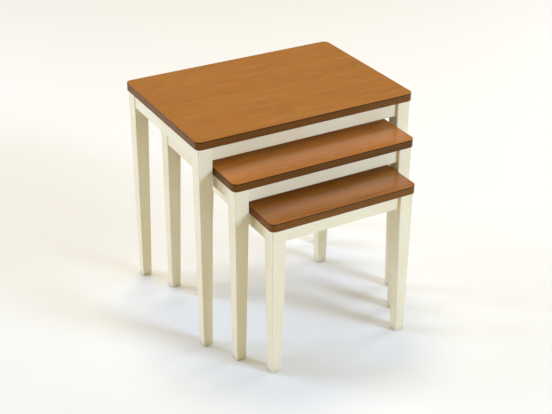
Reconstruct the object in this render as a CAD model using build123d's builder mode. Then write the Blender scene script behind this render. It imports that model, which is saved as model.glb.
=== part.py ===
from build123d import *

import os
from collections import namedtuple

os.makedirs("parts", exist_ok=True)

# A nest of three tables, in millimetres: +Z up, +X to the right, -Y to the front.
# The large table stands at the back. The medium and the small one slide out from
# under it, and are modelled pulled out to the front, one step further each.
# The origin is on the floor, under the middle of the box around the set.

# ---- The set ----
large_width = 550
table_depth = 380
large_height = 524
nest_side_gap = 8       # between an inner top and the legs on either side of it
nest_top_gap = 14       # between an inner top and the apron above it
medium_pull_out = 85    # from the large table's front edge to the medium one's
small_pull_out = 163    # from the large table's front edge to the small one's
inner_shift = -5        # the inner tables stand a little to the left of centre

# ---- Tabletop: a board with a band around it and a sheet of veneer over both ----
board_thickness = 18.6
veneer_thickness = 0.6
band_thickness = 1.5
corner_radius = 14
band_arris = 0.8
veneer_arris = 0.4
top_overhang = 5        # beyond the outer faces of the legs
glue_line = 0.05        # around the board, inside the band

# ---- Legs: square at the top, tapered on their two inner faces ----
leg_width = 33
foot_width = 23
square_length = 66      # from the tabletop down to where the taper starts
leg_arris = 1.5
foot_chamfer = 0.8

# ---- Aprons ----
apron_height = 36
apron_thickness = 18
front_apron_inset = 7   # front and back aprons, behind the faces of the legs
side_apron_inset = 2    # left and right aprons, behind the faces of the legs
apron_arris = 1.5

# ---- Dowels between the aprons and the legs ----
dowel_radius = 4
dowel_length = 30
dowel_chamfer = 0.8
dowel_edge = 7          # from an apron's edge to the middle of a dowel
dowel_wall = 3          # wood between the dowels that meet at a right angle in a leg
dowel_gap = 0.05        # around a dowel
dowel_end_gap = 0.5     # past each end of a dowel

# ---- Corner blocks, each bolted to its leg ----
block_thickness = 20
block_height = 28
block_gap = 2.5         # between a block and the flat on the corner of its leg

# ---- Hanger bolts and flange nuts ----
bolt_radius = 3
bolt_in_leg = 25
bolt_past_nut = 3
bolt_chamfer = 0.6
bolt_leg_gap = 0.05
bolt_block_gap = 0.3
nut_across_flats = 10
nut_height = 6
nut_flange_radius = 7
nut_flange_thickness = 1.4
nut_gap = 0.05

# ---- Countersunk screws, up through each block into the board ----
screw_radius = 2
screw_head_radius = 4
screw_length = 40
screw_offset = 10       # on either side of the hanger bolt
screw_block_gap = 0.25
screw_head_gap = 0.1
screw_board_gap = 0.05
screw_end_gap = 0.5
screw_apron_gap = 1     # at least this, between a screw's head and an apron
screw_tip_length = 4
screw_tip_radius = 0.3
recess_length = 4
recess_width = 0.9
recess_depth = 1.6

# ---- Glides, nailed under the feet ----
glide_radius = 9
glide_thickness = 2
glide_chamfer = 0.5
nail_radius = 1.2
nail_length = 12
nail_gap = 0.05
nail_end_gap = 0.5

# ---- Worked out from the sizes above ----
top_thickness = board_thickness + veneer_thickness
leg_line = top_overhang + leg_width
width_step = 2 * (leg_line + nest_side_gap)
height_step = top_thickness + apron_height + nest_top_gap
corner_flat = leg_width - apron_thickness - max(front_apron_inset, side_apron_inset)
dowel_spacing = apron_height - 2 * dowel_edge
dowel_in_leg = leg_width - side_apron_inset - apron_thickness / 2 - dowel_radius - dowel_wall
dowel_in_apron = dowel_length - dowel_in_leg
screw_in_board = screw_length - block_height
screw_head_height = screw_head_radius - screw_radius

# The aprons' inner faces, from the tabletop's edges.
front_line = top_overhang + front_apron_inset + apron_thickness
side_line = top_overhang + side_apron_inset + apron_thickness

# A line across a corner is given by the sum of its distances from the two sides.
# A block stands clear of its leg, and far enough in for its screws to clear the aprons.
across = 2**0.5
flat_sum = 2 * leg_line - corner_flat
screw_line = max(front_line, side_line) + screw_head_radius + screw_apron_gap
block_sum = max(
    flat_sum + block_gap * across,
    2 * screw_line + (screw_offset - block_thickness / 2) * across,
)
block_distance = (block_sum - flat_sum) / across
bolt_past_leg = block_distance + block_thickness + nut_height + bolt_past_nut

BASE = (Align.CENTER, Align.CENTER, Align.MIN)

Table = namedtuple("Table", "name width height x y")
large_y = small_pull_out / 2
tables = [
    Table("large", large_width, large_height, 0, large_y),
    Table(
        "medium",
        large_width - width_step,
        large_height - height_step,
        inner_shift,
        large_y - medium_pull_out,
    ),
    Table(
        "small",
        large_width - 2 * width_step,
        large_height - 2 * height_step,
        inner_shift,
        large_y - small_pull_out,
    ),
]

# Each corner as its side (-1 left, 1 right) and its end (-1 front, 1 back).
corners = {
    "front_left": (-1, -1),
    "front_right": (1, -1),
    "back_left": (-1, 1),
    "back_right": (1, 1),
}

# Each apron as the two corners that it runs between, and whether it runs along X.
aprons = {
    "front": ("front_left", "front_right", True),
    "back": ("back_left", "back_right", True),
    "left": ("front_left", "back_left", False),
    "right": ("front_right", "back_right", False),
}


def underside(table):
    """Height of the tabletop's underside, where the legs and aprons end."""
    return table.height - top_thickness


def corner_point(table, corner, inset_x, inset_y):
    """Plan point at these distances in from a corner of the tabletop."""
    side, end = corner
    x = table.x + side * (table.width / 2 - inset_x)
    y = table.y + end * (table_depth / 2 - inset_y)
    return x, y


def dowel_plane(table, corner, along_x):
    """Upright plane where an apron's end meets its leg, facing into the leg."""
    side, end = corner
    height = underside(table) - apron_height / 2
    if along_x:
        middle = top_overhang + front_apron_inset + apron_thickness / 2
        x, y = corner_point(table, corner, leg_line, middle)
        return Plane((x, y, height), x_dir=(0, 0, 1), z_dir=(side, 0, 0))
    middle = top_overhang + side_apron_inset + apron_thickness / 2
    x, y = corner_point(table, corner, middle, leg_line)
    return Plane((x, y, height), x_dir=(0, 0, 1), z_dir=(0, end, 0))


def bolt_plane(table, corner, distance):
    """Upright plane across a corner, this far inwards from the flat on the leg."""
    side, end = corner
    flat_middle = leg_line - corner_flat / 2
    x, y = corner_point(table, corner, flat_middle, flat_middle)
    height = underside(table) - apron_height / 2
    flat = Plane((x, y, height), x_dir=(side, -end, 0), z_dir=(-side, -end, 0))
    return flat.offset(distance)


def screw_plane(table, corner, height):
    """Level plane that faces down at the middle of a corner block."""
    side, end = corner
    middle = bolt_plane(table, corner, block_distance + block_thickness / 2).origin
    return Plane((middle.X, middle.Y, height), x_dir=(side, -end, 0), z_dir=(0, 0, -1))


def glide_plane(table, corner, height):
    """Level plane that faces down at the middle of a foot."""
    middle = top_overhang + foot_width / 2
    x, y = corner_point(table, corner, middle, middle)
    return Plane((x, y, height), x_dir=(1, 0, 0), z_dir=(0, 0, -1))


def make_top_board(table):
    inset = band_thickness + glue_line
    with BuildPart() as board:
        with BuildSketch(Plane((table.x, table.y, underside(table)))):
            RectangleRounded(
                table.width - 2 * inset, table_depth - 2 * inset, corner_radius - inset
            )
        extrude(amount=board_thickness)
        for corner in corners.values():
            with Locations(screw_plane(table, corner, underside(table))):
                with GridLocations(2 * screw_offset, 0, 2, 1):
                    Hole(screw_radius + screw_board_gap, screw_in_board + screw_end_gap)
    return board


def make_top_veneer(table):
    with BuildPart() as veneer:
        with BuildSketch(Plane((table.x, table.y, table.height - veneer_thickness))):
            RectangleRounded(table.width, table_depth, corner_radius)
        extrude(amount=veneer_thickness)
        fillet(veneer.faces().sort_by(Axis.Z)[-1].edges(), veneer_arris)
    return veneer


def make_edge_band(table):
    inner_width = table.width - 2 * band_thickness
    inner_depth = table_depth - 2 * band_thickness
    with BuildPart() as band:
        with BuildSketch(Plane((table.x, table.y, underside(table)))):
            RectangleRounded(table.width, table_depth, corner_radius)
            RectangleRounded(
                inner_width, inner_depth, corner_radius - band_thickness, mode=Mode.SUBTRACT
            )
        extrude(amount=board_thickness)
        fillet(band.faces().sort_by(Axis.Z)[0].outer_wire().edges(), band_arris)
    return band


def make_leg(table, corner):
    taper_top = underside(table) - square_length
    inner = leg_line
    cut = leg_line - corner_flat
    with BuildPart() as leg:
        for height, width in ((glide_thickness, foot_width), (taper_top, leg_width)):
            middle = top_overhang + width / 2
            with BuildSketch(Plane.XY.offset(height)):
                with Locations(corner_point(table, corner, middle, middle)):
                    RectangleRounded(width, width, leg_arris)
        loft(ruled=True)
        extrude(leg.faces().sort_by(Axis.Z)[-1], amount=square_length)
        chamfer(leg.faces().sort_by(Axis.Z)[0].edges(), foot_chamfer)
        with BuildSketch(Plane.XY.offset(underside(table))):
            Polygon(
                corner_point(table, corner, inner, inner),
                corner_point(table, corner, cut, inner),
                corner_point(table, corner, inner, cut),
                align=None,
            )
        extrude(amount=-apron_height, mode=Mode.SUBTRACT)
        for along_x in (True, False):
            with Locations(-dowel_plane(table, corner, along_x)):
                with GridLocations(dowel_spacing, 0, 2, 1):
                    Hole(dowel_radius + dowel_gap, dowel_in_leg + dowel_end_gap)
        with Locations(bolt_plane(table, corner, 0)):
            Hole(bolt_radius + bolt_leg_gap, bolt_in_leg + bolt_leg_gap)
        with Locations(glide_plane(table, corner, glide_thickness)):
            Hole(nail_radius + nail_gap, nail_length + nail_end_gap)
    return leg


def make_apron(table, name):
    first_name, second_name, along_x = aprons[name]
    first = corners[first_name]
    second = corners[second_name]
    inset = front_apron_inset if along_x else side_apron_inset
    outer = top_overhang + inset
    inner = outer + apron_thickness
    outer_end = (leg_line, outer) if along_x else (outer, leg_line)
    inner_end = (leg_line, inner) if along_x else (inner, leg_line)
    with BuildPart() as apron:
        with BuildSketch(Plane.XY.offset(underside(table))):
            Polygon(
                corner_point(table, first, *outer_end),
                corner_point(table, second, *outer_end),
                corner_point(table, second, *inner_end),
                corner_point(table, first, *inner_end),
                align=None,
            )
        extrude(amount=-apron_height)
        lower_edges = apron.faces().sort_by(Axis.Z)[0].edges()
        fillet(lower_edges.filter_by(Axis.X if along_x else Axis.Y), apron_arris)
        for corner in (first, second):
            with Locations(dowel_plane(table, corner, along_x)):
                with GridLocations(dowel_spacing, 0, 2, 1):
                    Hole(dowel_radius + dowel_gap, dowel_in_apron + dowel_end_gap)
            # The bolt goes past the aprons' ends, which only meet it on a narrow leg.
            with Locations(bolt_plane(table, corner, block_distance)):
                Hole(bolt_radius + bolt_block_gap, block_distance + bolt_in_leg)
    return apron


def make_corner_block(table, corner):
    inner_sum = block_sum + block_thickness * across
    with BuildPart() as block:
        with BuildSketch(Plane.XY.offset(underside(table))):
            Polygon(
                corner_point(table, corner, block_sum - front_line, front_line),
                corner_point(table, corner, inner_sum - front_line, front_line),
                corner_point(table, corner, side_line, inner_sum - side_line),
                corner_point(table, corner, side_line, block_sum - side_line),
                align=None,
            )
        extrude(amount=-block_height)
        with Locations(bolt_plane(table, corner, block_distance + block_thickness)):
            Hole(bolt_radius + bolt_block_gap)
        with Locations(screw_plane(table, corner, underside(table) - block_height)):
            with GridLocations(2 * screw_offset, 0, 2, 1):
                CounterSinkHole(
                    screw_radius + screw_block_gap,
                    screw_head_radius + screw_head_gap,
                    counter_sink_angle=90,
                )
    return block


def make_dowels(table):
    middle = dowel_in_leg - dowel_length / 2
    with BuildPart() as dowels:
        for corner in corners.values():
            for along_x in (True, False):
                with Locations(dowel_plane(table, corner, along_x).offset(middle)):
                    with GridLocations(dowel_spacing, 0, 2, 1):
                        Cylinder(dowel_radius, dowel_length)
        chamfer(dowels.edges().filter_by(GeomType.CIRCLE), dowel_chamfer)
    return dowels


def make_hanger_bolts(table):
    with BuildPart() as bolts:
        for corner in corners.values():
            with Locations(bolt_plane(table, corner, -bolt_in_leg)):
                Cylinder(bolt_radius, bolt_in_leg + bolt_past_leg, align=BASE)
        chamfer(bolts.edges().filter_by(GeomType.CIRCLE), bolt_chamfer)
    return bolts


def make_flange_nuts(table):
    seat = block_distance + block_thickness
    with BuildPart() as nuts:
        for corner in corners.values():
            with BuildSketch(bolt_plane(table, corner, seat)):
                RegularPolygon(nut_across_flats / 2, 6, major_radius=False)
            extrude(amount=nut_height)
            with Locations(bolt_plane(table, corner, seat)):
                Cylinder(nut_flange_radius, nut_flange_thickness, align=BASE)
            with Locations(bolt_plane(table, corner, seat + nut_height)):
                Hole(bolt_radius + nut_gap, nut_height)
    return nuts


def make_top_screws(table):
    head_height = underside(table) - block_height
    body_length = screw_length - screw_tip_length
    with BuildPart() as screws:
        for corner in corners.values():
            with Locations(-screw_plane(table, corner, head_height)):
                with GridLocations(2 * screw_offset, 0, 2, 1):
                    Cone(screw_head_radius, screw_radius, screw_head_height, align=BASE)
                    Cylinder(screw_radius, body_length, align=BASE)
            with Locations(-screw_plane(table, corner, head_height + body_length)):
                with GridLocations(2 * screw_offset, 0, 2, 1):
                    Cone(screw_radius, screw_tip_radius, screw_tip_length, align=BASE)
            with Locations(-screw_plane(table, corner, head_height)):
                with GridLocations(2 * screw_offset, 0, 2, 1):
                    Box(recess_length, recess_width, recess_depth, align=BASE, mode=Mode.SUBTRACT)
                    Box(recess_width, recess_length, recess_depth, align=BASE, mode=Mode.SUBTRACT)
    return screws


def make_glides(table):
    with BuildPart() as glides:
        for corner in corners.values():
            with Locations(-glide_plane(table, corner, 0)):
                Cylinder(glide_radius, glide_thickness, align=BASE)
        chamfer(glides.edges().group_by(Axis.Z)[0], glide_chamfer)
        for corner in corners.values():
            with Locations(-glide_plane(table, corner, 0)):
                Cylinder(nail_radius, glide_thickness + nail_length, align=BASE)
    return glides


def save(piece, table, name):
    """Label a finished piece after its table and write its STEP file."""
    piece.part.label = f"{table.name}_{name}"
    export_step(piece.part, f"parts/{piece.part.label}.step")


for table in tables:
    save(make_top_board(table), table, "top_board")
    save(make_top_veneer(table), table, "top_veneer")
    save(make_edge_band(table), table, "edge_band")
    for name, corner in corners.items():
        save(make_leg(table, corner), table, f"{name}_leg")
        save(make_corner_block(table, corner), table, f"{name}_block")
    for name in aprons:
        save(make_apron(table, name), table, f"{name}_apron")
    save(make_dowels(table), table, "dowels")
    save(make_hanger_bolts(table), table, "hanger_bolts")
    save(make_flange_nuts(table), table, "flange_nuts")
    save(make_top_screws(table), table, "top_screws")
    save(make_glides(table), table, "glides")
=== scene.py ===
import math
from collections import namedtuple

import bmesh
import bpy
from mathutils import Matrix, Vector


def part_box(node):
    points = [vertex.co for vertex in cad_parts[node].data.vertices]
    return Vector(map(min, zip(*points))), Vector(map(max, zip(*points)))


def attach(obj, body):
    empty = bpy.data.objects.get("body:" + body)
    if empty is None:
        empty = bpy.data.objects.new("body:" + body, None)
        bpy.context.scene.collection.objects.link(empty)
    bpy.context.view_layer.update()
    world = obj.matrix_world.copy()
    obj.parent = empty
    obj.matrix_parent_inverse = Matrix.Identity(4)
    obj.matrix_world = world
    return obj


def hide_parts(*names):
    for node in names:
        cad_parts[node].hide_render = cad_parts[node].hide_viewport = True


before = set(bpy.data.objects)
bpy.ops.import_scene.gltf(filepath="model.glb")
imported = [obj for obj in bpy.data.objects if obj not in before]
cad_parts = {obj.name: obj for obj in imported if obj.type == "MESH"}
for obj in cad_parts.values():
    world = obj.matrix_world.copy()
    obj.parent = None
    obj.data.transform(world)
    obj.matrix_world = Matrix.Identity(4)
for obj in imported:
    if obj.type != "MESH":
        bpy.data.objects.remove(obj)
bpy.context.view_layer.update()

# A nest of three tables with honey veneered tops, dark edge bands and cream painted legs.
# Everything is in metres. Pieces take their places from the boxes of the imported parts, and
# the fastenings from the solids in them.

TABLES = ("large", "medium", "small")
CORNERS = {
    "front_left": (-1, -1),
    "front_right": (1, -1),
    "back_left": (-1, 1),
    "back_right": (1, 1),
}

# ---- Sizes of the joinery, in metres ----
CORNER_RADIUS = 0.014
BAND_THICKNESS = 0.0015
BAND_ARRIS = 0.0008
VENEER_ARRIS = 0.0004
VENEER_HIGHLIGHT_WIDTH = 0.0045  # width of the band along the top's edge that carries a painted highlight
FOOT_WIDTH = 0.023
SQUARE_LENGTH = 0.066  # from the tabletop down to where a leg starts to taper
LEG_ARRIS = 0.0015
LEAST_ARRIS = 0.0004
FOOT_CHAMFER = 0.0008
APRON_ARRIS = 0.0015
APRON_END_WEAR = 0.6
LEDGE_DROP = 0.036  # the flat for the corner block runs this far down the leg
CORNER_FLAT = 0.008
ARRIS_FADE = 0.002  # how far the wear along an arris reaches onto the faces

# ---- Sizes of the fastenings, in metres. Each is turned along Z from its start. ----
DOWEL_SIZES = {
    "Radius": 0.004,
    "Length": 0.030,
    "Start Radius": 0.0032,
    "Start Length": 0.0008,
    "End Radius": 0.0032,
    "End Length": 0.0008,
    "Sides": 24,
    "Rows": 38,
    "Flutes": 12.0,
    "Flute Depth": 0.0003,
}
BOLT_SIZES = {
    "Radius": 0.003,
    "Length": 0.0565,
    "Start Radius": 0.0024,
    "Start Length": 0.0006,
    "End Radius": 0.0024,
    "End Length": 0.0006,
    "Sides": 16,
    "Rows": 150,
    "Pitch": 0.0015,
    "Thread Depth": 0.0005,
    "Plain From": 0.025,
    "Plain To": 0.029,
}
SCREW_SIZES = {
    "Radius": 0.002,
    "Length": 0.040,
    "Start Radius": 0.004,
    "Start Length": 0.002,
    "End Radius": 0.0003,
    "End Length": 0.004,
    "Sides": 16,
    "Rows": 80,
    "Pitch": 0.002,
    "Thread Depth": 0.0005,
    "Plain From": -0.001,
    "Plain To": 0.014,
    "Recess Length": 0.004,
    "Recess Width": 0.0009,
    "Recess Depth": 0.0016,
}
NUT_SIZES = {
    "Across Flats": 0.010,
    "Height": 0.006,
    "Flange Radius": 0.007,
    "Flange Thickness": 0.0014,
    "Hole Radius": 0.00305,
}
GLIDE_SIZES = {
    "Radius": 0.009,
    "Length": 0.002,
    "Start Radius": 0.0085,
    "Start Length": 0.0005,
    "Sides": 48,
    "Rows": 8,
    "Nail Radius": 0.0012,
    "Nail Length": 0.012,
}
NUT_TOP_SHARE = 0.48  # radius left at the end of a nut, as a share of its flats
NUT_BEVEL_SHARE = 0.16  # height of that bevel, as a share of the nut's height
FLANGE_BEVEL = 0.0004
HOLE_CUTTER_LENGTH = 0.05
NAIL_POINT = {"End Radius": 0.0002, "End Length": 0.0025}
NAIL_RINGS = {"Pitch": 0.001, "Thread Depth": 0.00015}
ROUND_SIDES = 48
THREAD_STEEPNESS = 1.5  # above 1, it leaves flat crests between the grooves


# ======================================================================================
# Shader groups: effects that several finishes share
# ======================================================================================


class Nodes:
    """Adds nodes to a tree and links them, so that a finish reads as a short recipe."""

    def __init__(self, tree):
        self.tree = tree

    def add(self, kind, inputs=None, **settings):
        node = self.tree.nodes.new(kind)
        for name, value in settings.items():
            setattr(node, name, value)
        for name, value in (inputs or {}).items():
            self.feed(node.inputs[name], value)
        return node

    def feed(self, socket, value):
        if isinstance(value, bpy.types.NodeSocket):
            self.tree.links.new(value, socket)
        else:
            socket.default_value = value

    def math(self, operation, first, second=0.0, third=0.0, clamp=False):
        node = self.add("ShaderNodeMath", operation=operation, use_clamp=clamp)
        for socket, value in zip(node.inputs, (first, second, third)):
            self.feed(socket, value)
        return node.outputs[0]

    def scaled(self, vector, factors):
        node = self.add("ShaderNodeVectorMath", operation="MULTIPLY")
        self.feed(node.inputs[0], vector)
        self.feed(node.inputs[1], factors)
        return node.outputs[0]

    def moved(self, vector, offset):
        node = self.add("ShaderNodeVectorMath", operation="ADD")
        self.feed(node.inputs[0], vector)
        self.feed(node.inputs[1], offset)
        return node.outputs[0]

    def noise(self, vector, scale, detail=2.0, roughness=0.5, distortion=0.0):
        sockets = {"Vector": vector, "Scale": scale, "Detail": detail}
        sockets.update({"Roughness": roughness, "Distortion": distortion})
        return self.add("ShaderNodeTexNoise", sockets).outputs["Fac"]

    def ramp(self, value, low, high, new_low=0.0, new_high=1.0):
        """Maps low..high to new_low..new_high, smoothly and without going past either."""
        node = self.add("ShaderNodeMapRange", interpolation_type="SMOOTHSTEP")
        names = ("Value", "From Min", "From Max", "To Min", "To Max")
        for name, entry in zip(names, (value, low, high, new_low, new_high)):
            self.feed(node.inputs[name], entry)
        return node.outputs["Result"]

    def mix(self, factor, first, second, blend="MIX"):
        node = self.add("ShaderNodeMix", data_type="RGBA", blend_type=blend)
        self.feed(node.inputs[0], factor)
        self.feed(node.inputs[6], first)
        self.feed(node.inputs[7], second)
        return node.outputs[2]

    def attribute(self, name):
        kind = {"attribute_type": "GEOMETRY", "attribute_name": name}
        return self.add("ShaderNodeAttribute", **kind).outputs["Fac"]


def new_group(name, inputs, outputs):
    """An empty shader group with these sockets, and its Nodes, input and output."""
    tree = bpy.data.node_groups.new(name, "ShaderNodeTree")
    for socket, (kind, value) in inputs.items():
        made = tree.interface.new_socket(socket, in_out="INPUT", socket_type=kind)
        if value is not None:
            made.default_value = value
    for socket in outputs:
        tree.interface.new_socket(socket, in_out="OUTPUT", socket_type="NodeSocketFloat")
    nodes = Nodes(tree)
    return tree, nodes, nodes.add("NodeGroupInput").outputs, nodes.add("NodeGroupOutput").inputs


VECTOR = ("NodeSocketVector", None)


def number(value):
    return ("NodeSocketFloat", value)


def wood_figure_group():
    """Plain-sawn wood with its grain along X: bands, cathedral rings, fibres and pores."""
    tree, n, given, result = new_group(
        "wood_figure",
        {
            "Vector": VECTOR,
            "Seed": number(0.0),
            "Ring Spacing": number(0.012),
            "Ring Strength": number(0.5),
            "Pore Density": number(0.5),
        },
        ("Bands", "Rings", "Fibres", "Pores", "Height"),
    )
    shift = n.add("ShaderNodeCombineXYZ", {"X": given["Seed"], "Z": given["Seed"]})
    place = n.moved(given["Vector"], shift.outputs[0])
    broad = n.noise(n.scaled(place, (2.2, 13.0, 13.0)), 1.0, 3.0, 0.55, 0.4)
    medium = n.noise(n.scaled(place, (6.0, 75.0, 75.0)), 1.0, 2.0, 0.5, 0.3)
    bands = n.math("ADD", n.math("MULTIPLY", broad, 0.62), n.math("MULTIPLY", medium, 0.38))
    # Rings are the level lines of a long ellipse, pushed about by a slow wander.
    wander = n.noise(n.scaled(place, (3.2, 9.0, 9.0)), 1.0, 2.0, 0.5)
    oval = n.scaled(given["Vector"], (0.16, 1.0, 1.0))
    reach = n.add("ShaderNodeVectorMath", operation="LENGTH")
    n.feed(reach.inputs[0], oval)
    level = n.math("ADD", reach.outputs["Value"], n.math("MULTIPLY", wander, 0.075))
    turns = n.math("MULTIPLY", n.math("DIVIDE", level, given["Ring Spacing"]), math.tau)
    wave = n.math("POWER", n.math("MULTIPLY_ADD", n.math("SINE", turns), 0.5, 0.5), 3.0)
    fade = n.ramp(n.noise(n.scaled(place, (4.0, 16.0, 16.0)), 1.0, 1.0), 0.36, 0.62)
    rings = n.math("MULTIPLY", n.math("MULTIPLY", wave, fade), given["Ring Strength"])
    fibres = n.noise(n.scaled(place, (16.0, 900.0, 900.0)), 1.0, 2.0, 0.6)
    pore_noise = n.noise(n.scaled(place, (95.0, 2100.0, 2100.0)), 1.0, 1.0, 0.4)
    limit = n.math("SUBTRACT", 0.78, n.math("MULTIPLY", given["Pore Density"], 0.2))
    pores = n.ramp(pore_noise, limit, n.math("ADD", limit, 0.06))
    height = n.math("SUBTRACT", n.math("MULTIPLY", fibres, 0.35), pores)
    for name, value in zip(
        ("Bands", "Rings", "Fibres", "Pores", "Height"), (bands, rings, fibres, pores, height)
    ):
        n.feed(result[name], value)
    return tree


def paint_film_group():
    """Brushed paint: strokes along the longest stretch, slow mottle and fine orange peel."""
    tree, n, given, result = new_group(
        "paint_film",
        {"Vector": VECTOR, "Stroke": ("NodeSocketVector", (1.0, 1.0, 1.0)), "Seed": number(0.0)},
        ("Strokes", "Mottle", "Height"),
    )
    shift = n.add("ShaderNodeCombineXYZ", {"X": given["Seed"], "Y": given["Seed"]})
    place = n.moved(given["Vector"], shift.outputs[0])
    strokes = n.noise(n.scaled(place, given["Stroke"]), 1.0, 3.0, 0.55)
    mottle = n.noise(place, 9.0, 3.0, 0.5, 0.6)
    peel = n.noise(place, 900.0, 2.0, 0.5)
    height = n.math("MULTIPLY_ADD", peel, 0.3, n.math("MULTIPLY", strokes, 0.7))
    for name, value in zip(("Strokes", "Mottle", "Height"), (strokes, mottle, height)):
        n.feed(result[name], value)
    return tree


def handling_group():
    """Signs of use: faint smudges, hair scratches and a little dust low down."""
    tree, n, given, result = new_group(
        "handling",
        {"Vector": VECTOR, "Floor Reach": number(0.03), "Scratch Density": number(0.5)},
        ("Smudges", "Scratches", "Floor Dust"),
    )
    smudges = n.ramp(n.noise(given["Vector"], 14.0, 4.0, 0.6, 1.2), 0.42, 0.72)
    along = n.scaled(given["Vector"], (7.0, 420.0, 420.0))
    across = n.scaled(given["Vector"], (380.0, 9.0, 200.0))
    first = n.noise(along, 1.0, 1.0, 0.5, 1.5)
    second = n.noise(across, 1.0, 1.0, 0.5, 1.5)
    limit = n.math("SUBTRACT", 0.84, n.math("MULTIPLY", given["Scratch Density"], 0.1))
    top = n.math("ADD", limit, 0.04)
    scratches = n.math("MAXIMUM", n.ramp(first, limit, top), n.ramp(second, limit, top))
    height = n.add("ShaderNodeSeparateXYZ", {"Vector": given["Vector"]}).outputs["Z"]
    ragged = n.math("MULTIPLY_ADD", n.noise(given["Vector"], 70.0, 2.0), 0.02, height)
    low = n.math("DIVIDE", n.math("SUBTRACT", ragged, 0.01), given["Floor Reach"])
    dust = n.math("SUBTRACT", 1.0, n.math("SMOOTH_MIN", low, 1.0, 0.2), clamp=True)
    for name, value in zip(("Smudges", "Scratches", "Floor Dust"), (smudges, scratches, dust)):
        n.feed(result[name], value)
    return tree


GROUPS = {
    "wood_figure": wood_figure_group(),
    "paint_film": paint_film_group(),
    "handling": handling_group(),
}


# ======================================================================================
# Finishes
# ======================================================================================

SCRATCHED_ROUGHNESS = 0.6


def new_finish(name, roughness=0.5, specular=0.5, coat=0.0, coat_roughness=0.1, metallic=0.0):
    """A material with its Nodes, its Principled BSDF and the piece's own coordinates."""
    material = bpy.data.materials.new(name)
    material.use_nodes = True
    n = Nodes(material.node_tree)
    shader = material.node_tree.nodes["Principled BSDF"]
    shader.inputs["Roughness"].default_value = roughness
    shader.inputs["Specular IOR Level"].default_value = specular
    shader.inputs["Coat Weight"].default_value = coat
    shader.inputs["Coat Roughness"].default_value = coat_roughness
    shader.inputs["Metallic"].default_value = metallic
    own = n.add("ShaderNodeTexCoord").outputs["Object"]
    return material, n, shader, own


def use_group(n, name, **values):
    node = n.add("ShaderNodeGroup", node_tree=GROUPS[name])
    for socket, value in values.items():
        n.feed(node.inputs[socket.replace("_", " ")], value)
    return node.outputs


def bump(n, shader, height, distance, strength=1.0):
    sockets = {"Height": height, "Distance": distance, "Strength": strength}
    n.feed(shader.inputs["Normal"], n.add("ShaderNodeBump", sockets).outputs["Normal"])


def turned(n, vector, place, angle=0.0):
    """The coordinates as seen from a piece's own middle and direction."""
    values = {"Vector": vector, "Location": place, "Rotation": (0.0, 0.0, angle)}
    node = n.add("ShaderNodeMapping", vector_type="TEXTURE")
    for socket, value in values.items():
        n.feed(node.inputs[socket], value)
    return node.outputs[0]


HONEY_LIGHT = (0.460, 0.181, 0.029, 1.0)
HONEY_MIDDLE = (0.395, 0.141, 0.018, 1.0)
HONEY_DARK = (0.255, 0.074, 0.005, 1.0)
HONEY_PATCH = (0.470, 0.153, 0.020, 1.0)
HONEY_PORE = (0.150, 0.042, 0.004, 1.0)
# painted highlight colour for the top's arris
HONEY_ARRIS_HIGHLIGHT = (0.400, 0.110, 0.004, 1.0)


def veneer_finish(name, place, seed, ring_strength, shade):
    """Honey-stained veneer under satin lacquer, with the grain along X."""
    material, n, shader, own = new_finish(name, 0.42, 0.35, 0.55, 0.14)
    wood = use_group(
        n,
        "wood_figure",
        Vector=turned(n, own, place),
        Seed=seed,
        Ring_Spacing=0.011,
        Ring_Strength=ring_strength,
        Pore_Density=0.42,
    )
    use = use_group(n, "handling", Vector=own, Scratch_Density=0.2)
    colour = n.mix(n.ramp(wood["Bands"], 0.40, 0.60), HONEY_MIDDLE, HONEY_LIGHT)
    # The stain took unevenly: redder clouds, drawn out along the grain.
    cloud = n.noise(n.scaled(own, (9.0, 22.0, 22.0)), 1.0, 4.0, 0.62, 0.8)
    colour = n.mix(n.ramp(cloud, 0.42, 0.62, 0.0, 0.6), colour, HONEY_PATCH)
    colour = n.mix(n.ramp(cloud, 0.46, 0.34, 0.0, 0.18), colour, HONEY_DARK)
    colour = n.mix(n.math("MULTIPLY", wood["Rings"], 0.5), colour, HONEY_DARK)
    lines = n.noise(n.scaled(own, (7.0, 330.0, 330.0)), 1.0, 2.0, 0.6, 0.3)
    dark_lines = n.math("MULTIPLY", n.ramp(lines, 0.50, 0.70), ring_strength)
    colour = n.mix(dark_lines, colour, HONEY_DARK)
    streaks = n.ramp(wood["Fibres"], 0.38, 0.68, 0.0, 0.42)
    colour = n.mix(streaks, colour, HONEY_DARK)
    colour = n.mix(n.math("MULTIPLY", wood["Pores"], 0.5), colour, HONEY_PORE)
    # Painted highlight: a more saturated orange over the outer few millimetres of the top, where
    # the arris catches light. The lacquer coat is also taken off there.
    painted_highlight = n.math("MULTIPLY", n.attribute("arris"), 0.8)
    colour = n.mix(painted_highlight, colour, HONEY_ARRIS_HIGHLIGHT)
    colour = n.mix(1.0, colour, (shade, shade, shade, 1.0), "MULTIPLY")
    n.feed(shader.inputs["Base Color"], colour)
    worn = n.math("ADD", n.ramp(use["Smudges"], 0.0, 1.0, 0.38, 0.46), use["Scratches"])
    n.feed(shader.inputs["Roughness"], n.math("MINIMUM", worn, SCRATCHED_ROUGHNESS))
    coat = n.ramp(wood["Pores"], 0.0, 1.0, 0.55, 0.35)
    n.feed(shader.inputs["Coat Weight"], n.math("MULTIPLY", coat, n.math("SUBTRACT", 1.0, painted_highlight)))
    bump(n, shader, wood["Height"], 0.00004, 0.6)
    return material


STAIN_LIGHT = (0.205, 0.072, 0.014, 1.0)
STAIN_DARK = (0.104, 0.034, 0.007, 1.0)
# near-black, used for the pores and for the line along the band's top
BAND_DARKEST = (0.012, 0.005, 0.003, 1.0)
STAIN_SHEEN = (1.0, 0.60, 0.14, 1.0)
BAND_LOWER_TONE = (0.110, 0.025, 0.004, 1.0)
DARK_LINE_FADE = 0.0154, 0.0168  # heights above the underside where the line sets in
LOWER_TONE_FADE = 0.0026, 0.0006  # and where the darker, redder colour does, going down


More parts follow.
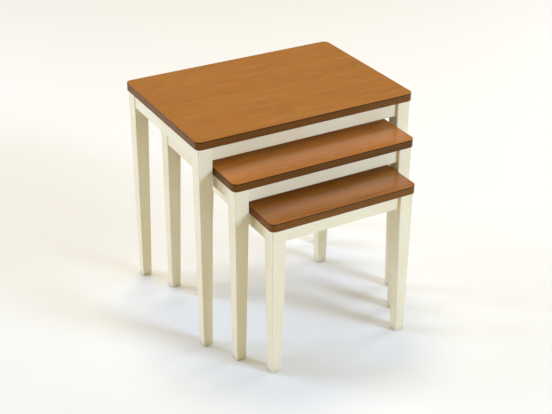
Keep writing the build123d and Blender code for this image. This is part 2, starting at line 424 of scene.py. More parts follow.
def band_finish(name, seed, shade):
    """Dark stained edge band. Its map runs along the edge, and up from the underside."""
    material, n, shader, own = new_finish(name, 0.45, 0.5)
    shader.inputs["Specular Tint"].default_value = STAIN_SHEEN
    map_place = n.add("ShaderNodeUVMap", uv_map="along_edge").outputs["UV"]
    wood = use_group(
        n, "wood_figure", Vector=map_place, Seed=seed, Ring_Strength=0.2, Pore_Density=0.8
    )
    use = use_group(n, "handling", Vector=own, Scratch_Density=0.5)
    colour = n.mix(n.ramp(wood["Bands"], 0.3, 0.7), STAIN_DARK, STAIN_LIGHT)
    colour = n.mix(n.ramp(wood["Fibres"], 0.25, 0.75, 0.0, 0.5), colour, STAIN_DARK)
    colour = n.mix(n.math("MULTIPLY", wood["Pores"], 0.6), colour, BAND_DARKEST)
    # The colour goes to a near-black line just under the veneer, and turns darker and redder
    # towards the lower arris.
    rise = n.add("ShaderNodeSeparateXYZ", {"Vector": map_place}).outputs["Y"]
    line = n.ramp(rise, *DARK_LINE_FADE)
    colour = n.mix(line, colour, BAND_DARKEST)
    # darker and redder over the lowest few millimetres of the band
    lower = n.ramp(rise, *LOWER_TONE_FADE)
    colour = n.mix(n.math("MULTIPLY", lower, 0.7), colour, BAND_LOWER_TONE)
    colour = n.mix(1.0, colour, (shade, shade, shade, 1.0), "MULTIPLY")
    n.feed(shader.inputs["Base Color"], colour)
    n.feed(shader.inputs["Roughness"], n.ramp(use["Smudges"], 0.0, 1.0, 0.42, 0.52))
    bump(n, shader, wood["Height"], 0.00005, 0.7)
    return material


CREAM = (0.830, 0.755, 0.570, 1.0)
CREAM_WARM = (0.805, 0.715, 0.510, 1.0)
CREAM_THIN = (0.680, 0.590, 0.390, 1.0)
FLOOR_DUST = (0.470, 0.400, 0.270, 1.0)


def paint_finish(name, stroke):
    """Cream satin paint with brush strokes along the longest stretch, on solid wood."""
    material, n, shader, own = new_finish(name, 0.42, 0.25)
    film = use_group(n, "paint_film", Vector=own, Stroke=stroke, Seed=1.3)
    use = use_group(n, "handling", Vector=own, Floor_Reach=0.016, Scratch_Density=0.3)
    tone = n.math("ADD", n.math("MULTIPLY", film["Strokes"], 0.5), film["Mottle"])
    colour = n.mix(n.ramp(tone, 0.55, 0.95), CREAM, CREAM_WARM)
    thin = n.math("MULTIPLY", n.attribute("arris"), n.ramp(film["Mottle"], 0.3, 0.7, 0.02, 0.2))
    colour = n.mix(thin, colour, CREAM_THIN)
    colour = n.mix(n.math("MULTIPLY", use["Floor Dust"], 0.35), colour, FLOOR_DUST)
    n.feed(shader.inputs["Base Color"], colour)
    n.feed(shader.inputs["Roughness"], n.ramp(use["Smudges"], 0.0, 1.0, 0.38, 0.5))
    bump(n, shader, film["Height"], 0.00006, 0.6)
    return material


def raw_wood_finish(name, light, dark, place, angle, spacing, roughness=0.75):
    """Bare sawn wood, with its grain along X turned by the angle."""
    material, n, shader, own = new_finish(name, roughness, 0.3)
    wood = use_group(
        n,
        "wood_figure",
        Vector=turned(n, own, place, angle),
        Seed=5.1,
        Ring_Spacing=spacing,
        Ring_Strength=0.9,
        Pore_Density=0.2,
    )
    use = use_group(n, "handling", Vector=own)
    colour = n.mix(n.ramp(wood["Bands"], 0.3, 0.7), light, dark)
    colour = n.mix(n.math("MULTIPLY", wood["Rings"], 0.7), colour, dark)
    colour = n.mix(n.ramp(wood["Fibres"], 0.3, 0.8, 0.0, 0.25), colour, dark)
    n.feed(shader.inputs["Base Color"], colour)
    rough = n.ramp(use["Smudges"], 0.0, 1.0, roughness, roughness + 0.12)
    n.feed(shader.inputs["Roughness"], rough)
    bump(n, shader, wood["Height"], 0.00015, 0.8)
    return material


BOARD_PAPER = (0.520, 0.405, 0.265, 1.0)
BOARD_SPECK = (0.330, 0.235, 0.140, 1.0)


def board_finish():
    """Pressed board with a plain backing sheet: short pale fibres and darker specks."""
    material, n, shader, own = new_finish("backing_sheet", 0.62, 0.35)
    fibres = n.noise(n.scaled(own, (260.0, 900.0, 900.0)), 1.0, 2.0, 0.6, 2.0)
    specks = n.ramp(n.noise(own, 420.0, 1.0), 0.62, 0.7)
    cloud = n.noise(own, 11.0, 3.0)
    colour = n.mix(n.ramp(fibres, 0.3, 0.7, 0.0, 0.45), BOARD_PAPER, BOARD_SPECK)
    colour = n.mix(n.math("MULTIPLY", specks, 0.4), colour, BOARD_SPECK)
    colour = n.mix(n.ramp(cloud, 0.3, 0.7, 0.0, 0.2), colour, BOARD_SPECK)
    n.feed(shader.inputs["Base Color"], colour)
    n.feed(shader.inputs["Roughness"], n.ramp(cloud, 0.3, 0.7, 0.58, 0.7))
    bump(n, shader, fibres, 0.00005, 0.5)
    return material


ZINC_BRIGHT = (0.66, 0.66, 0.63, 1.0)
ZINC_DULL = (0.42, 0.42, 0.41, 1.0)


def zinc_finish():
    """Bright zinc plate on steel, clouded and lightly scratched."""
    material, n, shader, own = new_finish("bright_zinc", 0.3, 0.5, metallic=1.0)
    use = use_group(n, "handling", Vector=own, Scratch_Density=1.0)
    cloud = n.noise(own, 160.0, 4.0, 0.6, 0.8)
    colour = n.mix(n.ramp(cloud, 0.35, 0.7), ZINC_BRIGHT, ZINC_DULL)
    n.feed(shader.inputs["Base Color"], colour)
    rough = n.math("ADD", n.ramp(cloud, 0.3, 0.7, 0.24, 0.42), use["Scratches"])
    n.feed(shader.inputs["Roughness"], n.math("MINIMUM", rough, SCRATCHED_ROUGHNESS))
    bump(n, shader, n.noise(own, 1200.0, 2.0), 0.00002, 0.5)
    return material


NYLON = (0.520, 0.430, 0.290, 1.0)
NYLON_SCUFFED = (0.330, 0.260, 0.170, 1.0)


def nylon_finish():
    """Matt tan nylon, scuffed where it meets the floor."""
    material, n, shader, own = new_finish("tan_nylon", 0.55, 0.4)
    use = use_group(n, "handling", Vector=own, Floor_Reach=0.003, Scratch_Density=1.0)
    grain = n.noise(own, 700.0, 3.0)
    colour = n.mix(n.ramp(grain, 0.3, 0.7, 0.0, 0.3), NYLON, NYLON_SCUFFED)
    colour = n.mix(n.math("MULTIPLY", use["Floor Dust"], 0.5), colour, NYLON_SCUFFED)
    n.feed(shader.inputs["Base Color"], colour)
    n.feed(shader.inputs["Roughness"], n.ramp(use["Scratches"], 0.0, 1.0, 0.5, 0.7))
    bump(n, shader, grain, 0.00003, 0.6)
    return material


# Noise scales for brush strokes: short across a piece, long along it.
STROKE_ALONG, STROKE_ACROSS = 5.0, 260.0
paint_upright = paint_finish("cream_paint_upright", (STROKE_ACROSS, STROKE_ACROSS, STROKE_ALONG))
paint_wide = paint_finish("cream_paint_wide", (STROKE_ALONG, STROKE_ACROSS, STROKE_ACROSS))
paint_deep = paint_finish("cream_paint_deep", (STROKE_ACROSS, STROKE_ALONG, STROKE_ACROSS))
backing_sheet = board_finish()
bright_zinc = zinc_finish()
tan_nylon = nylon_finish()
PINE_LIGHT, PINE_DARK = (0.700, 0.520, 0.310, 1.0), (0.520, 0.330, 0.160, 1.0)
BEECH_LIGHT, BEECH_DARK = (0.620, 0.440, 0.280, 1.0), (0.470, 0.300, 0.170, 1.0)
PINE_RINGS, BEECH_RINGS = 0.0035, 0.006
PINE_HEART_RISE = 0.03  # from a block's middle up to the middle of its rings
beech = raw_wood_finish("raw_beech", BEECH_LIGHT, BEECH_DARK, (0, 0, 0), 0.0, BEECH_RINGS)


# ======================================================================================
# Meshes
# ======================================================================================

Ring = namedtuple("Ring", "points arris")  # closed outline, and the arris value at each point

NARROW = 0.0013  # faces narrower than this round an arris, and are shaded smooth


def make_piece(name, rings, material, closed=False, edge_map=False):
    """Joins rings of points into a closed skin, from the first ring to the last.

    A closed piece is a hoop, whose last ring meets its first. Any other gets a cap at
    each end. The edge map holds the distance along the ring and the height above the
    lowest point."""
    mesh = bpy.data.meshes.new(name)
    bm = bmesh.new()
    layer = bm.verts.layers.float.new("arris")
    rows = []
    for ring in rings:
        row = []
        for point, value in zip(ring.points, ring.arris):
            vert = bm.verts.new(point)
            vert[layer] = value
            row.append(vert)
        rows.append(row)
    uv = bm.loops.layers.uv.new("along_edge") if edge_map else None
    base = min(point[2] for ring in rings for point in ring.points)
    count = len(rings[0].points)
    pairs = list(zip(rows, rows[1:]))
    if closed:
        pairs.append((rows[-1], rows[0]))
    distances = [0.0]
    for j in range(count):
        step = Vector(rings[0].points[(j + 1) % count]) - Vector(rings[0].points[j])
        distances.append(distances[-1] + step.length)
    for lower, upper in pairs:
        for j in range(count):
            k = (j + 1) % count
            face = bm.faces.new((lower[j], lower[k], upper[k], upper[j]))
            if uv:
                for loop, along in zip(face.loops, (j, j + 1, j + 1, j)):
                    loop[uv].uv = (distances[along], loop.vert.co.z - base)
    if not closed:
        bm.faces.new(list(reversed(rows[0])))
        bm.faces.new(rows[-1])
    bmesh.ops.remove_doubles(bm, verts=bm.verts, dist=1e-6)
    bmesh.ops.recalc_face_normals(bm, faces=bm.faces)
    for face in bm.faces:
        narrowest = min(edge.calc_length() for edge in face.edges)
        face.smooth = narrowest < NARROW and len(face.verts) < 5
    bm.to_mesh(mesh)
    bm.free()
    mesh.materials.append(material)
    piece = bpy.data.objects.new(name, mesh)
    bpy.context.scene.collection.objects.link(piece)
    return piece


def rounded_outline(low_x, low_y, high_x, high_y, radius, steps):
    """Anticlockwise points of a rectangle with rounded corners."""
    points = []
    centres = (
        (high_x - radius, high_y - radius, 0.0),
        (low_x + radius, high_y - radius, 0.5),
        (low_x + radius, low_y + radius, 1.0),
        (high_x - radius, low_y + radius, 1.5),
    )
    for x, y, start in centres:
        for step in range(steps + 1):
            angle = math.pi * (start + 0.5 * step / steps)
            points.append((x + radius * math.cos(angle), y + radius * math.sin(angle)))
    return points


def level_ring(low, high, inset, height, arris, radius=CORNER_RADIUS, steps=12):
    """A level ring round a tabletop, this far inside its edge."""
    outline = rounded_outline(
        low.x + inset, low.y + inset, high.x - inset, high.y - inset, radius - inset, steps
    )
    return Ring([(x, y, height) for x, y in outline], [arris] * len(outline))


def quarter(radius, steps=4):
    """Inset and rise of the points that round an arris, from the side to the face."""
    for step in range(steps + 1):
        angle = 0.5 * math.pi * step / steps
        yield radius * (1 - math.cos(angle)), radius * math.sin(angle)


def make_veneer(table, material):
    low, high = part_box(f"{table}_top_veneer")
    rings = [level_ring(low, high, VENEER_HIGHLIGHT_WIDTH, low.z, 0.0)]
    rings.append(level_ring(low, high, 0.0, low.z, 1.0))
    for inset, rise in quarter(VENEER_ARRIS):
        rings.append(level_ring(low, high, inset, high.z - VENEER_ARRIS + rise, 1.0))
    rings.append(level_ring(low, high, VENEER_HIGHLIGHT_WIDTH, high.z, 0.0))
    return make_piece(f"{table}_honey_veneer", rings, material)


def make_band(table, material):
    low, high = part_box(f"{table}_edge_band")
    rings = []
    for inset, rise in reversed(list(quarter(BAND_ARRIS))):
        rings.append(level_ring(low, high, inset, low.z + BAND_ARRIS - rise, 1.0))
    rings.append(level_ring(low, high, 0.0, high.z, 0.0))
    rings.append(level_ring(low, high, BAND_THICKNESS, high.z, 0.0))
    rings.append(level_ring(low, high, BAND_THICKNESS, low.z, 0.0))
    return make_piece(f"{table}_walnut_band", rings, material, closed=True, edge_map=True)


def square_profile(width, radius, flat=0.0, steps=4):
    """Points (u, v, arris) of a leg's section, from its outer corner at (0, 0).

    With a flat, the inner corner is cut off at 45 degrees, that far back along each
    side, by as many points as the rounded corner has."""
    points = []
    near, far = radius, width - radius
    for x, y, start in ((far, far, 0.0), (near, far, 0.5), (near, near, 1.0), (far, near, 1.5)):
        corner = []
        for step in range(steps + 1):
            angle = math.pi * (start + 0.5 * step / steps)
            corner.append((x + radius * math.cos(angle), y + radius * math.sin(angle), 1.0))
        before = Vector(corner[0][:2])
        after = Vector(corner[-1][:2])
        lead = Vector((math.sin(math.pi * start), -math.cos(math.pi * start))) * ARRIS_FADE
        tail = Vector((-math.cos(math.pi * start), -math.sin(math.pi * start))) * ARRIS_FADE
        corner.insert(0, (*(before + lead), 0.0))
        corner.append((*(after + tail), 0.0))
        if flat and start == 0.0:
            last = len(corner) - 1
            corner = [
                (width - flat * i / last, width - flat * (last - i) / last, 0.0)
                for i in range(last + 1)
            ]
        points += corner
    return points


def make_leg(table, corner):
    side, end = CORNERS[corner]
    node = f"{table}_{corner}_leg"
    low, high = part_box(node)
    outer_x = high.x if side > 0 else low.x
    outer_y = high.y if end > 0 else low.y
    leg_width = high.x - low.x
    taper_top = high.z - SQUARE_LENGTH
    ledge = high.z - LEDGE_DROP

    def ring(height, width, inset=0.0, flat=0.0, worn=0.0):
        points, arris = [], []
        arris_radius = max(LEG_ARRIS - inset, LEAST_ARRIS)
        for u, v, value in square_profile(width - 2 * inset, arris_radius, flat):
            points.append((outer_x - side * (u + inset), outer_y - end * (v + inset), height))
            arris.append(max(value, worn))
        return Ring(points, arris)

    fade_width = FOOT_WIDTH + (leg_width - FOOT_WIDTH) * ARRIS_FADE / (taper_top - low.z)
    rings = [
        ring(low.z, FOOT_WIDTH, inset=FOOT_CHAMFER, worn=1.0),
        ring(low.z + FOOT_CHAMFER / 3, FOOT_WIDTH, inset=FOOT_CHAMFER / 3, worn=1.0),
        ring(low.z + FOOT_CHAMFER, FOOT_WIDTH, worn=1.0),
        ring(low.z + FOOT_CHAMFER + ARRIS_FADE, fade_width),
        ring(taper_top, leg_width),
        ring(ledge, leg_width),
        ring(ledge, leg_width, flat=CORNER_FLAT),
        ring(high.z, leg_width, flat=CORNER_FLAT),
    ]
    piece = make_piece(f"{node}_painted", rings, paint_upright)
    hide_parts(node)
    return piece


def make_apron(table, name):
    """A rail with rounded lower arrises. Its section runs round, and its length is lofted."""
    node = f"{table}_{name}_apron"
    low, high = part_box(node)
    along = 0 if name in ("front", "back") else 1
    across = 1 - along
    section = [(low[across], high.z, 0.0)]
    for inset, rise in quarter(APRON_ARRIS):
        section.append((low[across] + inset, low.z + APRON_ARRIS - rise, 1.0))
    section.insert(1, (low[across], low.z + APRON_ARRIS + ARRIS_FADE, 0.0))
    mirrored = [
        (low[across] + high[across] - place, height, value)
        for place, height, value in reversed(section)
    ]
    near_low = (low[across] + APRON_ARRIS + ARRIS_FADE, low.z, 0.0)
    near_high = (high[across] - APRON_ARRIS - ARRIS_FADE, low.z, 0.0)
    section += [near_low, near_high] + mirrored
    rings = []
    stations = (
        (low[along], APRON_END_WEAR),
        (low[along] + ARRIS_FADE, 0.0),
        (high[along] - ARRIS_FADE, 0.0),
        (high[along], APRON_END_WEAR),
    )
    for place, worn in stations:
        points, arris = [], []
        for side_place, height, value in section:
            point = [0.0, 0.0, height]
            point[along] = place
            point[across] = side_place
            points.append(tuple(point))
            arris.append(max(value, worn))
        rings.append(Ring(points, arris))
    material = paint_wide if along == 0 else paint_deep
    piece = make_piece(f"{node}_painted", rings, material)
    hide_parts(node)
    return piece


# ======================================================================================
# Fastenings: each is shaped once by geometry nodes, then set out at its places
# ======================================================================================

SIZE, COUNT = "NodeSocketFloat", "NodeSocketInt"
ROD_INPUTS = {
    "Radius": (SIZE, 0.003),
    "Length": (SIZE, 0.03),
    "Start Radius": (SIZE, 0.003),
    "Start Length": (SIZE, 0.001),
    "End Radius": (SIZE, 1.0),  # wider than the rod, which leaves its end plain
    "End Length": (SIZE, 0.001),
    "Sides": (COUNT, 16),
    "Rows": (COUNT, 8),
    "Pitch": (SIZE, 0.0015),
    "Thread Depth": (SIZE, 0.0),
    "Plain From": (SIZE, 0.0),
    "Plain To": (SIZE, 0.0),
    "Flutes": (SIZE, 0.0),
    "Flute Depth": (SIZE, 0.0),
}


def geometry_group(name, inputs):
    """An empty geometry group with these sockets, and its Nodes, input and output."""
    tree = bpy.data.node_groups.new(name, "GeometryNodeTree")
    for socket, (kind, value) in inputs.items():
        made = tree.interface.new_socket(socket, in_out="INPUT", socket_type=kind)
        if value is not None:
            made.default_value = value
    tree.interface.new_socket("Geometry", in_out="OUTPUT", socket_type="NodeSocketGeometry")
    nodes = Nodes(tree)
    given = nodes.add("NodeGroupInput").outputs
    return tree, nodes, given, nodes.add("NodeGroupOutput").inputs["Geometry"]


def lifted(n, geometry, height):
    offset = n.add("ShaderNodeCombineXYZ", {"Z": height}).outputs[0]
    sockets = {"Geometry": geometry, "Translation": offset}
    return n.add("GeometryNodeTransform", sockets).outputs["Geometry"]


def turned_rod_group():
    """A closed rod standing on Z = 0, with coned ends and a thread or flutes cut into it."""
    tree, n, given, result = geometry_group("turned_rod", ROD_INPUTS)
    sockets = {"Vertices": given["Sides"], "Side Segments": given["Rows"], "Radius": 1.0}
    sockets["Depth"] = given["Length"]
    rod = n.add("GeometryNodeMeshCylinder", sockets)
    raised = lifted(n, rod.outputs["Mesh"], n.math("MULTIPLY", given["Length"], 0.5))
    position = n.add("GeometryNodeInputPosition").outputs[0]
    place = n.add("ShaderNodeSeparateXYZ", {"Vector": position}).outputs
    angle = n.math("ARCTAN2", place["Y"], place["X"])

    def cone(distance, end_radius, end_length):
        share = n.math("DIVIDE", distance, end_length, clamp=True)
        rise = n.math("MULTIPLY", n.math("SUBTRACT", given["Radius"], end_radius), share)
        return n.math("ADD", end_radius, rise)

    start = cone(place["Z"], given["Start Radius"], given["Start Length"])
    from_end = n.math("SUBTRACT", given["Length"], place["Z"])
    tip = n.math("MINIMUM", given["End Radius"], given["Radius"])
    end = cone(from_end, tip, given["End Length"])
    # A rod may start with a head wider than itself, so the start wins near Z = 0.
    near_start = n.math("LESS_THAN", place["Z"], given["Start Length"])
    body = n.math("MULTIPLY", end, n.math("SUBTRACT", 1.0, near_start))
    radius = n.math("ADD", n.math("MULTIPLY", start, near_start), body)

    turns = n.math("DIVIDE", place["Z"], given["Pitch"])
    turns = n.math("ADD", turns, n.math("DIVIDE", angle, math.tau))
    groove = n.math("ABSOLUTE", n.math("MULTIPLY_ADD", n.math("FRACT", turns), 2.0, -1.0))
    groove = n.math("MULTIPLY", groove, THREAD_STEEPNESS, clamp=True)
    before = n.math("LESS_THAN", place["Z"], given["Plain From"])
    after = n.math("GREATER_THAN", place["Z"], given["Plain To"])
    room = n.math("LESS_THAN", given["End Length"], from_end)
    cut = n.math("MULTIPLY", n.math("MAXIMUM", before, after), room)
    cut = n.math("MULTIPLY", n.math("MULTIPLY", cut, groove), given["Thread Depth"])
    wave = n.math("COSINE", n.math("MULTIPLY", angle, given["Flutes"]))
    flute = n.math("MULTIPLY", n.math("MULTIPLY_ADD", wave, -0.5, 0.5), given["Flute Depth"])
    radius = n.math("SUBTRACT", n.math("SUBTRACT", radius, cut), flute)

    spread = n.add("ShaderNodeCombineXYZ", {"X": radius, "Y": radius, "Z": 1.0}).outputs[0]
    sockets = {"Geometry": raised, "Position": n.scaled(position, spread)}
    shaped = n.add("GeometryNodeSetPosition", sockets).outputs["Geometry"]
    sockets = {"Geometry": shaped, "Selection": rod.outputs["Side"]}
    n.feed(result, n.add("GeometryNodeSetShadeSmooth", sockets).outputs["Geometry"])
    return tree


TURNED_ROD = turned_rod_group()


def add_rod(n, values):
    node = n.add("GeometryNodeGroup", node_tree=TURNED_ROD)
    for socket, value in values.items():
        n.feed(node.inputs[socket], value)
    return node.outputs["Geometry"]


def add_boolean(n, operation, first, second):
    node = n.add("GeometryNodeMeshBoolean", operation=operation, solver="EXACT")
    if operation == "DIFFERENCE":
        n.feed(node.inputs["Mesh 1"], first)
        n.feed(node.inputs["Mesh 2"], second)
    else:
        n.tree.links.new(first, node.inputs["Mesh 2"])
        n.tree.links.new(second, node.inputs["Mesh 2"])
    return node.outputs["Mesh"]


def set_out(n, given, shape, result):
    """Copies of the shape, one at each point, with Z along the point's axis."""
    kind = {"data_type": "FLOAT_VECTOR"}
    axis = n.add("GeometryNodeInputNamedAttribute", {"Name": "axis"}, **kind).outputs["Attribute"]
    turn = n.add("FunctionNodeAlignRotationToVector", {"Vector": axis}, axis="Z").outputs[0]
    sockets = {"Points": given["Geometry"], "Instance": shape, "Rotation": turn}
    copies = n.add("GeometryNodeInstanceOnPoints", sockets).outputs["Instances"]
    real = n.add("GeometryNodeRealizeInstances", {"Geometry": copies}).outputs["Geometry"]
    sockets = {"Geometry": real, "Material": given["Material"]}
    n.feed(result, n.add("GeometryNodeSetMaterial", sockets).outputs["Geometry"])


PLACES = {"Geometry": ("NodeSocketGeometry", None), "Material": ("NodeSocketMaterial", None)}


def rods_group():
    tree, n, given, result = geometry_group("set_out_rods", {**PLACES, **ROD_INPUTS})
    set_out(n, given, add_rod(n, {name: given[name] for name in ROD_INPUTS}), result)
    return tree


def screws_group():
    """Rods with a cross recess cut into their heads."""
    recess = {f"Recess {name}": (SIZE, 0.001) for name in ("Length", "Width", "Depth")}
    tree, n, given, result = geometry_group("set_out_screws", {**PLACES, **ROD_INPUTS, **recess})
    shape = add_rod(n, {name: given[name] for name in ROD_INPUTS})
    long, wide = given["Recess Length"], given["Recess Width"]
    deep = n.math("MULTIPLY", given["Recess Depth"], 2.0)
    for x, y in ((long, wide), (wide, long)):
        size = n.add("ShaderNodeCombineXYZ", {"X": x, "Y": y, "Z": deep}).outputs[0]
        bar = n.add("GeometryNodeMeshCube", {"Size": size}).outputs["Mesh"]
        shape = add_boolean(n, "DIFFERENCE", shape, bar)
    set_out(n, given, shape, result)
    return tree


def nuts_group():
    """Hexagon nuts with a bevelled end, a flange and a hole."""
    sizes = {name: (SIZE, value) for name, value in NUT_SIZES.items()}
    tree, n, given, result = geometry_group("set_out_nuts", {**PLACES, **sizes})
    height = given["Height"]
    corner = n.math("DIVIDE", given["Across Flats"], math.sqrt(3.0))
    sockets = {"Vertices": 6, "Radius": corner, "Depth": height}
    hexagon = n.add("GeometryNodeMeshCylinder", sockets).outputs["Mesh"]
    hexagon = lifted(n, hexagon, n.math("MULTIPLY", height, 0.5))
    around = n.math("MULTIPLY", corner, 1.001)  # just outside the corners
    bevelled = {"Radius": around, "Start Radius": around, "Start Length": 0.0, "Length": height}
    bevelled["End Radius"] = n.math("MULTIPLY", given["Across Flats"], NUT_TOP_SHARE)
    bevelled["End Length"] = n.math("MULTIPLY", height, NUT_BEVEL_SHARE)
    bevelled.update({"Sides": ROUND_SIDES, "Rows": 25})
    nut = add_boolean(n, "INTERSECT", hexagon, add_rod(n, bevelled))
    wide = given["Flange Radius"]
    flange = {"Radius": wide, "Start Radius": wide, "Start Length": 0.0}
    flange["Length"] = given["Flange Thickness"]
    flange["End Radius"] = n.math("SUBTRACT", wide, FLANGE_BEVEL)
    flange["End Length"] = FLANGE_BEVEL
    flange.update({"Sides": ROUND_SIDES, "Rows": 4})
    nut = add_boolean(n, "UNION", nut, add_rod(n, flange))
    sockets = {"Vertices": 32, "Radius": given["Hole Radius"], "Depth": HOLE_CUTTER_LENGTH}
    hole = n.add("GeometryNodeMeshCylinder", sockets).outputs["Mesh"]
    set_out(n, given, add_boolean(n, "DIFFERENCE", nut, hole), result)
    return tree


def glides_group():
    """Discs with a chamfered rim, on ringed nails."""
    nail = {"Nail Radius": (SIZE, 0.001), "Nail Length": (SIZE, 0.01)}
    tree, n, given, result = geometry_group("set_out_glides", {**PLACES, **ROD_INPUTS, **nail})
    disc = add_rod(n, {name: given[name] for name in ROD_INPUTS})
    shank = {"Radius": given["Nail Radius"], "Start Radius": given["Nail Radius"]}
    shank["Length"] = n.math("ADD", given["Nail Length"], n.math("MULTIPLY", given["Length"], 0.5))
    shank.update({**NAIL_POINT, **NAIL_RINGS, "Sides": 16, "Rows": 52})
    nail = lifted(n, add_rod(n, shank), n.math("MULTIPLY", given["Length"], 0.5))
    set_out(n, given, add_boolean(n, "UNION", disc, nail), result)
    return tree


RODS, SCREWS, NUTS, GLIDES = rods_group(), screws_group(), nuts_group(), glides_group()


def solids_of(node):
    """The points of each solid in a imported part, always in the same order."""
    bm = bmesh.new()
    bm.from_mesh(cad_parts[node].data)
    bmesh.ops.remove_doubles(bm, verts=bm.verts, dist=1e-6)
    found = set()
    for first in bm.verts:
        if first in found:
            continue
        found.add(first)
        reached = [first]
        for vert in reached:
            for edge in vert.link_edges:
                other = edge.other_vert(vert)
                if other not in found:
                    found.add(other)
                    reached.append(other)
        yield [vert.co.copy() for vert in reached]
    bm.free()


def middle_of(values):
    return (min(values) + max(values)) / 2


def extent_of(values):
    return max(values) - min(values)


def start_of(points, axis):
    """Where a solid starts on its own middle line."""
    side = Vector((0.0, 0.0, 1.0)) if abs(axis.z) < 0.5 else Vector((1.0, 0.0, 0.0))
    up = axis.cross(side)
    place = axis * min(point.dot(axis) for point in points)
    for direction in (side, up):
        place += direction * middle_of([point.dot(direction) for point in points])
    return place


def along_longest(points, middle):
    """X or Y, whichever the solid is longer along."""
    extent_x, extent_y = (extent_of([point[i] for point in points]) for i in (0, 1))
    return Vector((1.0, 0.0, 0.0)) if extent_x > extent_y else Vector((0.0, 1.0, 0.0))


def across_corner(points, middle):
    """From a table's corner towards its middle, at 45 degrees."""
    lean = Vector((middle.x - points[0].x, middle.y - points[0].y, 0.0))
    return Vector((math.copysign(1.0, lean.x), math.copysign(1.0, lean.y), 0.0)).normalized()


def upwards(points, middle):
    return Vector((0.0, 0.0, 1.0))


def make_fastenings(table, node, name, tree, sizes, find_axis, material):
    """One mesh of all the fastenings of a kind in a table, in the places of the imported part."""
    low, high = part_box(f"{table}_{node}")
    middle = (low + high) / 2
    starts = []
    for points in solids_of(f"{table}_{node}"):
        axis = find_axis(points, middle)
        starts.append((start_of(points, axis), axis))
    mesh = bpy.data.meshes.new(f"{table}_{node}_places")
    mesh.from_pydata([place for place, axis in starts], [], [])
    axes = mesh.attributes.new("axis", "FLOAT_VECTOR", "POINT")
    for entry, (place, axis) in zip(axes.data, starts):
        entry.vector = axis
    piece = bpy.data.objects.new(name, mesh)
    bpy.context.scene.collection.objects.link(piece)
    modifier = piece.modifiers.new("set_out", "NODES")
    modifier.node_group = tree
    for item in tree.interface.items_tree:
        if item.item_type == "SOCKET" and item.in_out == "INPUT" and item.name in sizes:
            modifier[item.identifier] = sizes[item.name]
        if item.item_type == "SOCKET" and item.name == "Material":
            modifier[item.identifier] = material
    shaped = piece.evaluated_get(bpy.context.evaluated_depsgraph_get())
    made = bpy.data.meshes.new_from_object(shaped)
    made.materials.clear()
    made.materials.append(material)
    for face in made.polygons:
        face.material_index = 0
    piece.modifiers.remove(modifier)
    piece.data = made
    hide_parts(f"{table}_{node}")
    return piece


# ======================================================================================
# The nest
# ======================================================================================

BAND_SHADES = {"large": 0.86, "medium": 0.64, "small": 1.0}

# Middle of the cathedral figure from the top's left front, seed, ring strength and shade.
VENEER_FIGURES = {
    "large": ((0.10, 0.20), 0.0, 0.45, 1.04),
    "medium": ((0.30, 0.02), 4.3, 0.35, 1.15),
    "small": ((0.05, 0.33), 9.1, 0.9, 0.88),
}

FASTENINGS = (
    ("dowels", "fluted_dowels", RODS, DOWEL_SIZES, along_longest, beech, "beech_dowel"),
    ("hanger_bolts", "threaded_bolts", RODS, BOLT_SIZES, across_corner, bright_zinc, "zinc_steel"),
    ("flange_nuts", "hexagon_nuts", NUTS, NUT_SIZES, across_corner, bright_zinc, "zinc_steel"),
    ("top_screws", "cross_head_screws", SCREWS, SCREW_SIZES, upwards, bright_zinc, "zinc_steel"),
    ("glides", "nailed_glides", GLIDES, GLIDE_SIZES, upwards, tan_nylon, "glide_plastic"),
)

for table in TABLES:
    body = f"{table}_table"
    figure_place, seed, strength, shade = VENEER_FIGURES[table]
    low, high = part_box(f"{table}_top_veneer")
    place = (low.x + figure_place[0], low.y + figure_place[1], high.z)
    finish = veneer_finish(f"honey_veneer_{table}", place, seed, strength, shade)

    veneer = make_veneer(table, finish)
    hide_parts(f"{table}_top_veneer")
    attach(veneer, body)

    stain = band_finish(f"walnut_edge_band_{table}", seed, BAND_SHADES[table])
    band = make_band(table, stain)
    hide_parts(f"{table}_edge_band")
    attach(band, body)

    for corner in CORNERS:
        leg = make_leg(table, corner)
        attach(leg, body)
    for name in ("front", "back", "left", "right"):
        apron = make_apron(table, name)
        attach(apron, body)

    for corner, (side, end) in CORNERS.items():
        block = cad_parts[f"{table}_{corner}_block"]
        low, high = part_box(f"{table}_{corner}_block")
        middle = (low + high) / 2
        pine = raw_wood_finish(
            f"sawn_pine_{table}_{corner}",
            PINE_LIGHT,
            PINE_DARK,
            middle + Vector((0.0, 0.0, PINE_HEART_RISE)),
            -side * end * math.pi / 4,
            PINE_RINGS,
        )
        block.data.materials.clear()
        block.data.materials.append(pine)

    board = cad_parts[f"{table}_top_board"]
    board.data.materials.clear()
    board.data.materials.append(backing_sheet)

    for node, name, tree, sizes, find_axis, material, slot in FASTENINGS:
        name = f"{table}_{name}"
        piece = make_fastenings(table, node, name, tree, sizes, find_axis, material)
        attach(piece, body)


# ======================================================================================
# Floor, light and camera
# ======================================================================================


def make_floor():
    bpy.ops.mesh.primitive_plane_add(size=30.0)
    floor = bpy.context.object
    floor.name = "floor"
    material, n, shader, own = new_finish("pale_floor", 0.9, 0.2)
    tone = n.noise(own, 0.8, 2.0)
    n.feed(shader.inputs["Base Color"], n.mix(tone, (0.93, 0.93, 0.93, 1), (0.91, 0.91, 0.91, 1)))
    floor.data.materials.append(material)


NEST_MIDDLE = Vector((0.0, -0.05, 0.35))


def make_softbox(name, place, size, power, colour):
    lamp = bpy.data.lights.new(name, "AREA")
    lamp.shape = "DISK"
    lamp.size = size
    lamp.energy = power
    lamp.color = colour
    softbox = bpy.data.objects.new(name, lamp)
    softbox.location = place
    aim = NEST_MIDDLE - Vector(place)
    softbox.rotation_euler = aim.to_track_quat("-Z", "Y").to_euler()
    bpy.context.scene.collection.objects.link(softbox)


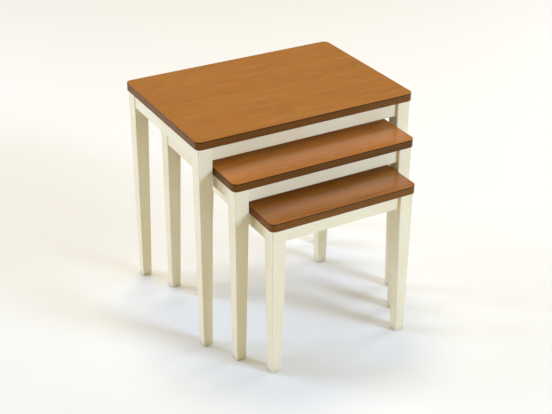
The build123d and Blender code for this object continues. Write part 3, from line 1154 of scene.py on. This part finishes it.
def make_sky(colour, strength):
    world = bpy.data.worlds.new("studio")
    world.use_nodes = True
    background = world.node_tree.nodes["Background"]
    background.inputs["Color"].default_value = colour
    background.inputs["Strength"].default_value = strength
    bpy.context.scene.world = world


def make_camera(place, yaw, pitch, roll, lens):
    """Yaw turns from +Y towards +X, pitch is above the horizon, roll is clockwise."""
    forward = Vector(
        (math.sin(yaw) * math.cos(pitch), math.cos(yaw) * math.cos(pitch), math.sin(pitch))
    )
    level = Vector((math.cos(yaw), -math.sin(yaw), 0.0))
    upright = level.cross(forward)
    right = level * math.cos(roll) + upright * math.sin(roll)
    up = -level * math.sin(roll) + upright * math.cos(roll)
    camera_data = bpy.data.cameras.new("camera")
    camera_data.lens = lens
    camera_data.sensor_width = 36.0
    camera_data.clip_end = 60.0
    camera = bpy.data.objects.new("camera", camera_data)
    turn = Matrix((right, up, -forward)).transposed().to_4x4()
    camera.matrix_world = Matrix.Translation(place) @ turn
    bpy.context.scene.collection.objects.link(camera)
    bpy.context.scene.camera = camera


make_floor()
make_sky((1.0, 0.82, 0.38, 1.0), 0.41)
SOFTBOXES = (  # name, place, width, power and colour
    ("overhead_softbox", (0.45, 1.39, 4.58), 1.7, 67.0, (1.0, 0.87, 0.64)),
    ("left_back_window", (-3.96, 3.10, 2.06), 2.9, 191.0, (0.55, 0.68, 1.0)),
    ("left_fill", (-4.68, -0.50, 1.88), 3.2, 39.0, (0.61, 0.81, 1.0)),
    ("front_right_key", (2.70, -4.21, 2.51), 1.6, 210.0, (0.54, 0.71, 1.0)),
    ("right_fill", (5.04, 0.04, 1.52), 2.9, 133.0, (0.72, 0.80, 1.0)),
)
for softbox in SOFTBOXES:
    make_softbox(*softbox)
CAMERA_PLACE = Vector((-1.15276, -1.97853, 1.52254))
YAW, PITCH, ROLL = math.radians(29.72), math.radians(-29.13), math.radians(0.36)
make_camera(CAMERA_PLACE, YAW, PITCH, ROLL, lens=72.10)
bpy.context.scene.view_settings.view_transform = "Standard"
